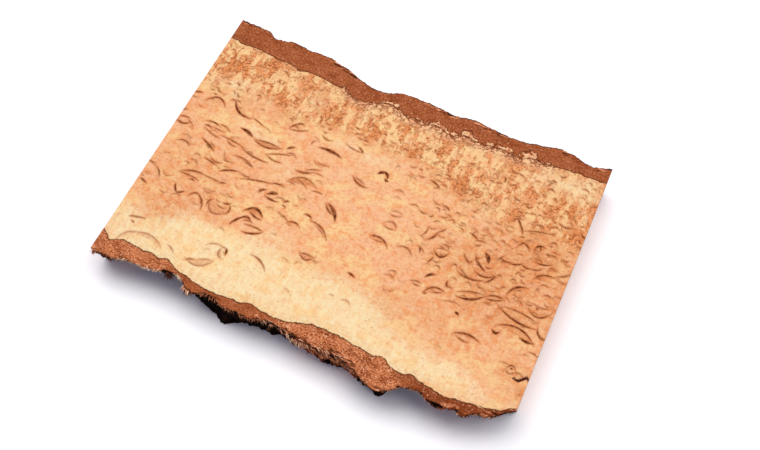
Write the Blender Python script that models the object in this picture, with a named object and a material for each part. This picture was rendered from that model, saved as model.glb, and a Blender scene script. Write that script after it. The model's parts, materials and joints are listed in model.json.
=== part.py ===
"""A live-edge plank of curly birch, lying on its sawn underside.

The saw cut it from the outer part of a thick trunk. It has three sub-parts: the pale figured wood,
and the strip of bark that grew along each of its long edges. All three are sawn flush above, below
and at both ends, so each of them is the space between two standing walls. A wall is a sheet that
runs along the plank and gives, for every place along it and every height, how far across it stands.

X runs along the grain, Y across the plank from the near edge to the far one, and Z up.
"""

import bpy
import numpy as np
from mathutils import Vector, noise

MM = 0.001

# Driving dimensions, in millimetres
LENGTH = 300.0
THICKNESS = 25.0
STATION_STEP = 2.5  # distance between the cross-sections that a wall is worked out at
CAMBIUM_GAP = 0.35  # the dark seam between wood and bark
LEAST_BARK = 1.2  # bark is never thinner than this

# Heights at which a wall is worked out, as shares of the thickness
HEIGHT_SHARES = (0.0, 0.1, 0.24, 0.38, 0.52, 0.68, 0.85, 1.0)

# Lines on the sawn upper face, as (along, across) knots. Each bay, step and spur of the edge has its knots.
FAR_BARK_RIM = (
    (-150, 108.6), (-140, 107.2), (-127, 106.4), (-124, 105.8), (-120.5, 102.6), (-115, 102.2),
    (-104, 104.8), (-97, 104), (-90, 102.4), (-80, 103.2), (-62, 99.8), (-54, 97.2), (-44, 93.2),
    (-21, 90.3), (-9, 94.8), (0, 95), (20, 93.8), (37, 92.4), (42, 93.8), (60, 92.6), (75, 91),
    (86, 91.2), (100, 94), (112, 96.6), (120, 95.8), (134, 91.6), (142, 93), (150, 95.3),
)
FAR_WOOD_RIM = (
    (-150, 89), (-144, 88.6), (-139, 87.2), (-129, 87.8), (-121, 87.4), (-114, 86), (-98, 84.5),
    (-90, 82.6), (-87, 82.2), (-84, 83.6), (-74, 83.4), (-58, 81), (-49, 80.3), (-45, 77.6), (-38, 76.2),
    (-29, 76.5), (-22, 79.5), (-14, 81.8), (-9, 81.4), (0, 77), (10, 77.6), (16, 76.5), (23, 78.4),
    (29, 77), (34, 74.8), (40, 76), (46, 78.6), (52, 77.4), (64, 76.6), (72, 78.6), (80, 76.6),
    (88, 76.6), (94, 79.4), (103, 80.2), (112, 79.8), (118, 80.8), (150, 81.6),
)
NEAR_WOOD_RIM = (
    (-150, -91.5), (-146, -94), (-142.5, -97.2), (-138.8, -97.2), (-137, -94.8), (-134, -94.2),
    (-126, -94.4), (-117, -94.9), (-110, -94.4), (-104, -96), (-100, -94.4), (-95, -95.8), (-90, -98.5),
    (-82, -100.5), (-72, -102.8), (-48, -103), (-38, -102.2), (-32, -100.5), (-27, -102), (-20, -102.9),
    (-8, -102.8), (0, -100), (11, -97.6), (30, -97.6), (40, -98.8), (57, -100), (61, -99.4),
    (66, -102.3), (71, -104.1), (76, -104.2), (82, -102.2), (88, -104.5), (95, -104.8), (104, -107.1),
    (112, -106), (126, -104.5), (137, -102), (142, -100.6), (145, -98.2), (150, -95),
)
NEAR_BARK_RIM = (
    (-150, -108.4), (-137, -109.6), (-131, -108.8), (-126, -106.8), (-113, -105.6), (-108, -106),
    (-100, -104.2), (-93, -101.8), (-87, -102.2), (-82, -104.6), (-77, -108.4), (-73, -109),
    (-66, -107.6), (-60, -107), (-51, -109.2), (-40, -109.8), (-27, -109.8), (-21, -107.6), (-8, -107.6),
    (0, -110), (8, -110.6), (22, -110), (38, -111), (48, -114), (54, -118), (60, -120.2), (67, -120.4),
    (71, -118.6), (77, -113.6), (84, -111.4), (89, -111), (97, -113.8), (104, -115.6), (110, -113),
    (114, -112), (119, -114.8), (122, -113.8), (125, -110.6), (135, -108.2), (141, -104.4), (147, -98.6),
    (150, -96.8),
)

# The same edges on the sawn underside, where the round of the trunk has drawn them in
FAR_BARK_FOOT = (
    (-150, 101), (-120, 96), (-90, 97), (-60, 94), (-25, 84), (0, 89), (40, 86), (85, 85), (112, 91),
    (150, 88),
)
NEAR_BARK_FOOT = (
    (-150, -98), (-128, -95), (-105, -92), (-86, -92), (-78, -98), (-73, -101.5), (-67, -105),
    (-60, -106.6), (-54, -109.6), (-48, -110), (-43, -107.6), (-36, -105.6), (-20, -104), (-5, -104.4),
    (8, -107.2), (18, -108.2), (46, -109.2), (58, -113), (66, -113), (75, -101), (85, -98), (103, -102),
    (120, -99), (136, -94), (150, -87),
)
WOOD_DRAWN_IN = 8.0  # how much further in the wood's own edge stands on the underside
BARK_BOW = 1.15  # how far the bark bellies out between rim and foot; 1 is straight

# Roughness of the walls: (depth, length of a lump along the plank, height of a lump), in millimetres
WOOD_EDGE_GRAIN = (0.35, 9.0, 20.0)
BARK_RIDGES = (2.4, 12.0, 5.5)
BARK_FLAKES = (1.1, 4.5, 3.0)
RIM_CALM = 0.75  # share of the bark's roughness that is gone at the rim, whose line is drawn above
CALM_POWER = 3  # how close to the rim the calm begins; a higher power begins nearer to it
NOISE_OCTAVES = 4

WOOD_COLOUR = (0.83, 0.55, 0.31, 1.0)
BARK_COLOUR = (0.24, 0.075, 0.028, 1.0)
WOOD_ROUGHNESS = 0.45
BARK_ROUGHNESS = 0.9


def clear_scene():
    for old in list(bpy.data.objects):
        bpy.data.objects.remove(old, do_unlink=True)


def line_through(knots, along):
    """A smooth line through the knots, made of cubics. The slope at a knot blends those on its two sides."""
    x, y = np.array(knots, float).T
    slope = np.gradient(y, x)
    left = np.clip(np.searchsorted(x, along) - 1, 0, len(x) - 2)
    right = left + 1
    span = x[right] - x[left]
    t = (along - x[left]) / span
    level = y[left] * (1 + 2 * t) * (1 - t) ** 2 + y[right] * t**2 * (3 - 2 * t)
    lean = span * (slope[left] * t * (1 - t) ** 2 - slope[right] * t**2 * (1 - t))
    return level + lean


def lumps(along, heights, size, seed):
    """Fractal lumps over a wall, in millimetres, one value for each station and height."""
    depth, length, height = size

    def lump(x, z):
        return depth * noise.fractal(Vector((x / length, seed, z / height)), 1.0, 2.0, NOISE_OCTAVES)

    return np.array([[lump(x, z) for z in heights] for x in along])


def leaning_wall(rim, foot, heights, bow=1.0):
    """A wall from its foot on the underside to its rim on the upper face. A bow above 1 bellies it out."""
    share = (heights / THICKNESS) ** (1.0 / bow)
    return foot[:, None] + (rim - foot)[:, None] * share[None, :]


def bark_wall(rim_knots, foot_knots, along, heights, seed):
    """The outside of a strip of bark: long ridges with small flakes on them, calmer towards the rim."""
    wall = leaning_wall(line_through(rim_knots, along), line_through(foot_knots, along), heights, BARK_BOW)
    relief = lumps(along, heights, BARK_RIDGES, seed) + lumps(along, heights, BARK_FLAKES, -seed)
    return wall + relief * (1 - RIM_CALM * (heights / THICKNESS) ** CALM_POWER)


def new_material(name, colour, roughness):
    material = bpy.data.materials.new(name)
    material.use_nodes = True
    shader = material.node_tree.nodes["Principled BSDF"]
    shader.inputs["Base Color"].default_value = colour
    shader.inputs["Roughness"].default_value = roughness
    shader.inputs["Metallic"].default_value = 0.0
    return material


def between_walls(name, along, heights, near_wall, far_wall, material):
    """The solid between two walls: a loft through one closed ring for each station, with both ends filled."""
    rings = []
    for x, near, far in zip(along, near_wall, far_wall):
        up = [(x, y, z) for y, z in zip(near, heights)]
        down = [(x, y, z) for y, z in zip(far[::-1], heights[::-1])]
        rings.append(up + down)
    size = len(rings[0])
    points = [tuple(MM * value for value in point) for ring in rings for point in ring]
    faces = [tuple(range(size)), tuple(reversed(range(len(points) - size, len(points))))]
    for start in range(0, len(points) - size, size):
        for i in range(size):
            j = (i + 1) % size
            faces.append((start + j, start + i, start + size + i, start + size + j))
    mesh = bpy.data.meshes.new(name)
    mesh.from_pydata(points, [], faces)
    mesh.materials.append(material)
    mesh.validate()
    solid = bpy.data.objects.new(name, mesh)
    return solid


def main():
    clear_scene()
    along = np.linspace(-LENGTH / 2, LENGTH / 2, round(LENGTH / STATION_STEP) + 1)
    heights = THICKNESS * np.array(HEIGHT_SHARES)

    # The wood's own edges, which the bark grew on
    near_rim = line_through(NEAR_WOOD_RIM, along)
    far_rim = line_through(FAR_WOOD_RIM, along)
    near_wood = leaning_wall(near_rim, near_rim + WOOD_DRAWN_IN, heights)
    far_wood = leaning_wall(far_rim, far_rim - WOOD_DRAWN_IN, heights)
    near_wood = near_wood + lumps(along, heights, WOOD_EDGE_GRAIN, seed=1.5)
    far_wood = far_wood + lumps(along, heights, WOOD_EDGE_GRAIN, seed=4.5)

    # The outside of the bark
    near_bark = bark_wall(NEAR_BARK_RIM, NEAR_BARK_FOOT, along, heights, seed=7.5)
    far_bark = bark_wall(FAR_BARK_RIM, FAR_BARK_FOOT, along, heights, seed=12.5)
    near_bark = np.minimum(near_bark, near_wood - CAMBIUM_GAP - LEAST_BARK)
    far_bark = np.maximum(far_bark, far_wood + CAMBIUM_GAP + LEAST_BARK)

    wood = new_material("birch_wood", WOOD_COLOUR, WOOD_ROUGHNESS)
    bark = new_material("birch_bark", BARK_COLOUR, BARK_ROUGHNESS)
    solids = [
        between_walls("wood", along, heights, near_wood, far_wood, wood),
        between_walls("bark_near", along, heights, near_bark, near_wood - CAMBIUM_GAP, bark),
        between_walls("bark_far", along, heights, far_wood + CAMBIUM_GAP, far_bark, bark),
    ]

    # One empty carries the plank, and puts the middle of its footprint on the origin
    plank = bpy.data.objects.new("birch_plank", None)
    plank.location.y = -MM * (near_bark.min() + far_bark.max()) / 2
    collection = bpy.data.collections.new("birch plank")
    bpy.context.scene.collection.children.link(collection)
    collection.objects.link(plank)
    for solid in solids:
        solid.parent = plank
        collection.objects.link(solid)


main()
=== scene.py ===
# %% [markdown]
# # A live-edge plank of curly birch
# This notebook dresses a plank that was sawn from the outside of a thick birch trunk. It lies flat, with
# pale figured wood in the middle and a strip of red-brown bark along each long edge. The construction is
# already made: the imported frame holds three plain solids, and each is replaced here by a finer one of the
# same form. Lengths are in metres, as in the frame. Values that end in _MM are in millimetres.

# %% Tools and the frame
import math

import bpy
import numpy as np
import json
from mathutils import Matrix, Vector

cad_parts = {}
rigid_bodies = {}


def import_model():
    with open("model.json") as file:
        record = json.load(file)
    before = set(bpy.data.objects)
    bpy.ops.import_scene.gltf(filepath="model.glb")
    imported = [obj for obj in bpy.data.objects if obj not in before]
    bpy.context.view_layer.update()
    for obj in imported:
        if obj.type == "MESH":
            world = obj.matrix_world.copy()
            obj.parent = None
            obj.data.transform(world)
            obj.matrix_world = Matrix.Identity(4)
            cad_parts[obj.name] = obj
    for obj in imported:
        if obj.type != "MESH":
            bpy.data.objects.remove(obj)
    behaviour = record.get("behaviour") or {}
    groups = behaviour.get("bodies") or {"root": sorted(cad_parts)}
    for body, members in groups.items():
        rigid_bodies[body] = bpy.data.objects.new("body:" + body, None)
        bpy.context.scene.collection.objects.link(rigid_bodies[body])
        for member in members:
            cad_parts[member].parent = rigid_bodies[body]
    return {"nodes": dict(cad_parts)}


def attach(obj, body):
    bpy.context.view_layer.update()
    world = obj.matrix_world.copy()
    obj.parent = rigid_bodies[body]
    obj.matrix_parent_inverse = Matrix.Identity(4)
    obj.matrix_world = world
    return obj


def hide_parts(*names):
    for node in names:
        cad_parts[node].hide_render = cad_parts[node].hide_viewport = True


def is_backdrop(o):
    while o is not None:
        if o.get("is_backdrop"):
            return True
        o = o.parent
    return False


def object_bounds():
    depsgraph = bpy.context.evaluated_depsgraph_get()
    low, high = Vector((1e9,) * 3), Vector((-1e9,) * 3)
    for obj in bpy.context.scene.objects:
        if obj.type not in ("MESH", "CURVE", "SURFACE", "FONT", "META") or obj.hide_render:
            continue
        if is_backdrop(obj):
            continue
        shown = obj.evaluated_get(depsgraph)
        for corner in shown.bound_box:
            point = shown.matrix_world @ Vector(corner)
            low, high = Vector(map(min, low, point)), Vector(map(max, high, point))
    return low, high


for old in list(bpy.data.objects):
    bpy.data.objects.remove(old, do_unlink=True)
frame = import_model()
CAD_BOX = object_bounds()
MM = 0.001
print(sorted(frame["nodes"]), [tuple(round(value, 4) for value in corner) for corner in CAD_BOX])

# %% [markdown]
# ## The camera and the light
# The photograph looks down steeply on the plank, turned a quarter of the way round its near side, through a
# normal lens. The camera could be tilted until it looks right. Here its place comes from the plank's four
# corners instead, so that every part of the picture falls where the frame says.

# %% Camera
CAMERA_PLACE = (0.1533, -0.3026, 0.6113)
CAMERA_TILT = 29.0  # degrees from straight down
CAMERA_TURN = 24.27  # degrees round the vertical
SENSOR_WIDTH = 36.0
FOCAL_LENGTH = 46.79

lens = bpy.data.cameras.new("camera")
lens.sensor_width = SENSOR_WIDTH
lens.lens = FOCAL_LENGTH
camera = bpy.data.objects.new("camera", lens)
camera.location = CAMERA_PLACE
camera.rotation_euler = (math.radians(CAMERA_TILT), 0.0, math.radians(CAMERA_TURN))
bpy.context.scene.collection.objects.link(camera)
bpy.context.scene.camera = camera
print("camera", round(CAMERA_PLACE[2], 3), "m above the floor, lens", FOCAL_LENGTH, "mm")

# %% [markdown]
# Two large soft lights hang high behind the plank, to its left and its right. They leave a short blurred
# shadow under the near edge, deepest in its middle, and the white surroundings fill it with a cool grey.
# Suns with wide discs do this evenly over the whole floor, where lamps near the plank would leave dark
# corners.

# %% Light and floor
# Each sun: where it comes from, and how strong it is
SUNS = (("left_window", (-0.38, 0.36, 1.0), 1.78), ("right_window", (0.45, 0.3, 1.0), 1.45))
SUN_DISC = 50.0  # degrees across
SUN_COLOUR = (1.0, 0.99, 0.96)
SKY_COLOUR = (0.93, 0.87, 1.12, 1.0)
SKY_STRENGTH = 0.35
FLOOR_COLOUR = (0.97, 0.97, 0.97, 1.0)
FLOOR_HALF = 20.0

for name, (x, y, z), strength in SUNS:
    lamp = bpy.data.lights.new(name, "SUN")
    lamp.energy = strength
    lamp.angle = math.radians(SUN_DISC)
    lamp.color = SUN_COLOUR
    sun = bpy.data.objects.new(name, lamp)
    sun.rotation_euler = (math.atan2(math.hypot(x, y), z), 0.0, math.atan2(x, -y))
    bpy.context.scene.collection.objects.link(sun)

world = bpy.data.worlds.new("white room")
world.use_nodes = True
sky = world.node_tree.nodes["Background"]
sky.inputs["Color"].default_value = SKY_COLOUR
sky.inputs["Strength"].default_value = SKY_STRENGTH
bpy.context.scene.world = world
bpy.context.scene.view_settings.view_transform = "Standard"

floor_paint = bpy.data.materials.new("floor_white")
floor_paint.use_nodes = True
for socket, value in (("Base Color", FLOOR_COLOUR), ("Roughness", 0.9), ("Specular IOR Level", 0.1)):
    floor_paint.node_tree.nodes["Principled BSDF"].inputs[socket].default_value = value
floor_mesh = bpy.data.meshes.new("floor")
corners = [(x * FLOOR_HALF, y * FLOOR_HALF, 0) for x, y in ((-1, -1), (1, -1), (1, 1), (-1, 1))]
floor_mesh.from_pydata(corners, [], [(0, 1, 2, 3)])
floor_mesh.materials.append(floor_paint)
floor = bpy.data.objects.new("floor", floor_mesh)
bpy.context.scene.collection.objects.link(floor)
floor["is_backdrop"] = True
print(len(SUNS), "suns with discs of", SUN_DISC, "degrees")

# %% [markdown]
# ## Reading the construction
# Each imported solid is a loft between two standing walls, so it holds, for every station along the plank and
# every height, how far across the near and the far wall stand. The walls could be drawn anew from a few
# points. Reading them back as tables keeps the finer pieces exactly where the solids are.


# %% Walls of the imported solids
def walls_of(node):
    """The tables of a node: its stations, its heights, and y of its near and far wall at each of them."""
    mesh = frame["nodes"][node].data
    points = np.empty(len(mesh.vertices) * 3)
    mesh.vertices.foreach_get("co", points)
    points = np.unique(points.reshape(-1, 3).round(6), axis=0)
    points = points[np.lexsort((points[:, 1], points[:, 2], points[:, 0]))]
    along = np.unique(points[:, 0])
    heights = np.unique(points[:, 2])
    y = points[:, 1].reshape(len(along), len(heights), 2)
    return along, heights, y[..., 0], y[..., 1]


STATIONS, HEIGHTS, WOOD_NEAR, WOOD_FAR = walls_of("wood")
BARK_NEAR_OUT = walls_of("bark_near")[2]
BARK_FAR_OUT = walls_of("bark_far")[3]
LENGTH = STATIONS[-1] - STATIONS[0]
THICKNESS = HEIGHTS[-1]
print(len(STATIONS), "stations,", len(HEIGHTS), "heights,", round(LENGTH, 4), "m long")


# %% A table read between its entries
def table_at(table, x, z):
    """A wall's y at any x and z: straight blends between the four nearest entries of its table."""
    i = np.clip(np.searchsorted(STATIONS, x) - 1, 0, len(STATIONS) - 2)
    k = np.clip(np.searchsorted(HEIGHTS, z) - 1, 0, len(HEIGHTS) - 2)
    s = (x - STATIONS[i]) / (STATIONS[i + 1] - STATIONS[i])
    t = (z - HEIGHTS[k]) / (HEIGHTS[k + 1] - HEIGHTS[k])
    low = table[i, k] * (1 - s) + table[i + 1, k] * s
    high = table[i, k + 1] * (1 - s) + table[i + 1, k + 1] * s
    return low * (1 - t) + high * t


# %% [markdown]
# ## Noise by arithmetic
# Bark and seams are rough at every scale. Blender's own noise is read one point at a time, so the pieces use
# a lattice noise that works on whole arrays: each corner of a unit lattice gets a repeatable random number,
# and a smooth fade blends the eight corners around a point.


# %% Lattice noise
def corner_number(i, j, k, seed):
    """A random number from -1 to 1 for each whole-number corner: its coordinates multiplied and scrambled."""
    mix = (i * 374761393 + j * 668265263 + k * 1274126177 + seed * 974634777) & 0xFFFFFFFF
    mix = ((mix ^ (mix >> 13)) * 1103515245) & 0xFFFFFFFF
    mix = mix ^ (mix >> 16)
    return (mix & 0xFFFF) / 32767.5 - 1.0


def lattice_noise(x, y, z, seed):
    """Noise from -1 to 1: the eight corner numbers around a point, blended by 6t^5 - 15t^4 + 10t^3."""
    x, y, z = np.broadcast_arrays(*(np.asarray(value, float) for value in (x, y, z)))
    cells = [np.floor(value).astype(np.int64) for value in (x, y, z)]
    fades = []
    for value, cell in zip((x, y, z), cells):
        t = value - cell
        fades.append(t * t * t * (t * (t * 6 - 15) + 10))
    total = np.zeros(x.shape)
    for corner in range(8):
        steps = [(corner >> axis) & 1 for axis in range(3)]
        weight = np.ones(x.shape)
        for step, fade in zip(steps, fades):
            weight = weight * (fade if step else 1 - fade)
        total += weight * corner_number(*(cell + step for cell, step in zip(cells, steps)), seed)
    return total


def rough(x, y, z, seed, octaves=4, gain=0.5):
    """Fractal noise from about -1 to 1: each layer is twice as fine as the last and gain times as strong."""
    total = 0.0
    strength = 1.0
    whole = 0.0
    for octave in range(octaves):
        total = total + strength * lattice_noise(x, y, z, seed + octave)
        whole += strength
        x, y, z = 2.03 * x, 2.03 * y, 2.03 * z
        strength *= gain
    return total / whole


def ease(value, low, high):
    """0 below low, 1 above high, and the smooth step 3t^2 - 2t^3 between them."""
    t = np.clip((value - low) / (high - low), 0.0, 1.0)
    return t * t * (3 - 2 * t)


def plateau(value, rises, full, falls, gone):
    """0, then 1 from full to falls, then 0 past gone, with the same smooth steps between them."""
    return ease(value, rises, full) * (1 - ease(value, falls, gone))


print("noise spread:", round(float(rough(np.arange(4000) * 0.37, 0.0, 0.0, 5).std()), 3))

# %% [markdown]
# ## One mesh form for wood and bark
# Wood and bark are both blocks with six sheets of skin: sawn faces above and below, two long walls and two
# ends. A cube could be subdivided and pushed into shape. Here one function lays out the skin of a block of
# cells, and each piece only says where a cell's corner goes, so that a corner always knows its place in the
# block. Corners that two sheets share are one vertex, which keeps every piece closed.


# %% The skin of a block
def block_skin(cells):
    """Corner numbers (i, j, k) and outward quads of the six sheets around a block of cells."""
    shape = tuple(count + 1 for count in cells)
    quads = []
    for axis in range(3):
        first, second = (axis + 1) % 3, (axis + 2) % 3
        a, b = np.meshgrid(np.arange(shape[first]), np.arange(shape[second]), indexing="ij")
        for level in (0, cells[axis]):
            index = [None, None, None]
            index[axis] = np.full_like(a, level)
            index[first] = a
            index[second] = b
            code = np.ravel_multi_index(index, shape)
            quad = np.stack([code[:-1, :-1], code[1:, :-1], code[1:, 1:], code[:-1, 1:]], -1).reshape(-1, 4)
            quads.append(quad if level else quad[:, ::-1])
    used, welded = np.unique(np.concatenate(quads), return_inverse=True)
    return np.stack(np.unravel_index(used, shape), -1), welded.reshape(-1, 4)


def steps_with_arris(length, cells, arris):
    """Shares from 0 to 1 for the corners of a row of cells, whose end cells are as wide as the arris."""
    inner = np.linspace(arris / length, 1 - arris / length, cells - 1)
    return np.concatenate([[0.0], inner, [1.0]])


def new_piece(name, points, quads, material, sharp_degrees=40, caps=np.empty((0, 3), int)):
    """A mesh object at the origin from points, quads and triangles, smooth except at sharp edges."""
    mesh = bpy.data.meshes.new(name)
    mesh.from_pydata(points.tolist(), [], quads.tolist() + caps.tolist())
    mesh.validate()
    mesh.shade_smooth()
    mesh.set_sharp_from_angle(angle=math.radians(sharp_degrees))
    mesh.materials.append(material)
    piece = bpy.data.objects.new(name, mesh)
    bpy.context.scene.collection.objects.link(piece)
    print(name, 2 * len(quads) + len(caps), "triangles")
    return piece


def paint(piece, values):
    """Stores numbers or vectors, one for each vertex, under names that a material can read."""
    for name, numbers in values.items():
        kind, field = ("FLOAT", "value") if numbers.ndim == 1 else ("FLOAT_VECTOR", "vector")
        layer = piece.data.attributes.new(name, kind, "POINT")
        layer.data.foreach_set(field, numbers.astype(np.float32).ravel())


# %% [markdown]
# ## Shader tools
# The finishes are all procedural. Their nodes could be joined in the shader editor, where a formula of ten
# steps is soon hard to follow. Here a Value stands for what a socket gives, and arithmetic with it adds the
# nodes, so that a formula is written as on paper. A soft threshold turns a noise into a mask, and coats lays
# colours over each other, each as thick as its mask says.


# %% Colours in this light
LIGHT_LEVEL = 1.25  # the light is this much stronger than white paper needs, so the floor is pure white


def hue(red, green, blue):
    """A colour as it looks in this light, 0 to 255 a part, turned into the linear values of a shader."""
    shares = [value / 255 for value in (red, green, blue)]
    linear = [s / 12.92 if s <= 0.04045 else ((s + 0.055) / 1.055) ** 2.4 for s in shares]
    return (*(value / LIGHT_LEVEL for value in linear), 1.0)


print("white paper in this light:", hue(255, 255, 255))


# %% Nodes, and values to calculate with
def join(node, inputs):
    """Fills a node's inputs: a socket's name or number, paired with a number, a colour or a Value."""
    for key, value in dict(inputs).items():
        if isinstance(value, Value):
            value.tree.links.new(value.socket, node.inputs[key])
        else:
            node.inputs[key].default_value = value


def add(tree, kind, inputs=(), **settings):
    """Adds a shader node with its settings and its inputs."""
    node = tree.nodes.new("ShaderNode" + kind)
    for key, value in settings.items():
        setattr(node, key, value)
    join(node, inputs)
    return node


class Value:
    """What a socket gives. Arithmetic with it adds nodes to the socket's tree."""

    def __init__(self, socket):
        self.socket = socket
        self.tree = socket.id_data

    def step(self, operation, *others):
        """One step of arithmetic, with this value first."""
        return Value(add(self.tree, "Math", enumerate((self, *others)), operation=operation).outputs[0])

    def __add__(self, other):
        return self.step("ADD", other)

    def __sub__(self, other):
        return self.step("SUBTRACT", other)

    def __mul__(self, other):
        return self.step("MULTIPLY", other)

    def __abs__(self):
        return self.step("ABSOLUTE")

    def soft(self, low, high, top=1.0, bottom=0.0):
        """A soft threshold: bottom under low, top over high, and a smooth step between them."""
        sockets = {"Value": self, "From Min": low, "From Max": high, "To Min": bottom, "To Max": top}
        return Value(add(self.tree, "MapRange", sockets, interpolation_type="SMOOTHSTEP").outputs[0])

    def parts(self):
        """The three parts of a vector."""
        return [Value(part) for part in add(self.tree, "SeparateXYZ", {0: self}).outputs]


# %% Coats of colour, noise, and what the vertices tell
MIX_UNDER, MIX_OVER, MIX_RESULT = 6, 7, 2  # a Mix node's sockets for colours have no names of their own


def coats(colour, *layers):
    """Colours over one another, from the lowest up. A layer is a colour and its mask."""
    for above, mask in layers:
        sockets = {0: mask, MIX_UNDER: colour, MIX_OVER: above}
        colour = Value(add(mask.tree, "Mix", sockets, data_type="RGBA").outputs[MIX_RESULT])
    return colour


def noise_of(place, size_mm, stretch=(1.0, 1.0, 1.0), detail=3.0, roughness=0.55, shift=0.0):
    """Noise whose lumps are size_mm wide, drawn out by stretch along each axis, and moved by shift."""
    scale = tuple(1000.0 / (size_mm * factor) for factor in stretch)
    moved = add(place.tree, "Mapping", {"Vector": place, "Location": (shift, shift, shift), "Scale": scale})
    sockets = {"Vector": Value(moved.outputs[0]), "Scale": 1.0, "Detail": detail, "Roughness": roughness}
    return Value(add(place.tree, "TexNoise", sockets).outputs[0])


def told(place, name, kind="Fac"):
    """What the vertices say under a name."""
    return Value(add(place.tree, "Attribute", attribute_name=name).outputs[kind])


def bump(height, strength, distance):
    """The normal of a surface that is raised a little by a height."""
    sockets = {"Strength": strength, "Distance": distance, "Height": height}
    return Value(add(height.tree, "Bump", sockets).outputs[0])


# %% Materials and groups
def new_material(name):
    """A material, its Principled shader, and the place of a point in the piece's own frame."""
    material = bpy.data.materials.new(name)
    material.use_nodes = True
    tree = material.node_tree
    return material, tree.nodes["Principled BSDF"], Value(add(tree, "TexCoord").outputs["Object"])


def new_group(name, inputs, outputs):
    """A shader group, its inputs as Values, and the node that its outputs are joined to."""
    group = bpy.data.node_groups.new(name, "ShaderNodeTree")
    for label, kind in inputs.items():
        group.interface.new_socket(label, in_out="INPUT", socket_type="NodeSocket" + kind)
    for label in outputs:
        group.interface.new_socket(label, in_out="OUTPUT", socket_type="NodeSocketFloat")
    entry = group.nodes.new("NodeGroupInput")
    return group, [Value(entry.outputs[label]) for label in inputs], group.nodes.new("NodeGroupOutput")


def ask(group, *inputs):
    """What a group gives for its inputs, in their order."""
    node = add(inputs[0].tree, "Group", enumerate(inputs), node_tree=group)
    return [Value(output) for output in node.outputs]


# %% [markdown]
# ## The figure of the wood
# Curly birch is known for its flames: short brown curls, each a lens or crescent a centimetre long, where
# the growth layers dip round a small scar. They could be drawn as pictures on the face. Here each flame is a
# shallow parabola between two points, with a thickness that swells in its middle and runs out to nothing at
# both tips. The mesh carries, at each vertex, how far that vertex lies from the parabola and how thick the
# flame is there, and the material compares the two. Both values change evenly between vertices, so the line
# stays thin and clean on a mesh whose cells are wider than the line.

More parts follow.
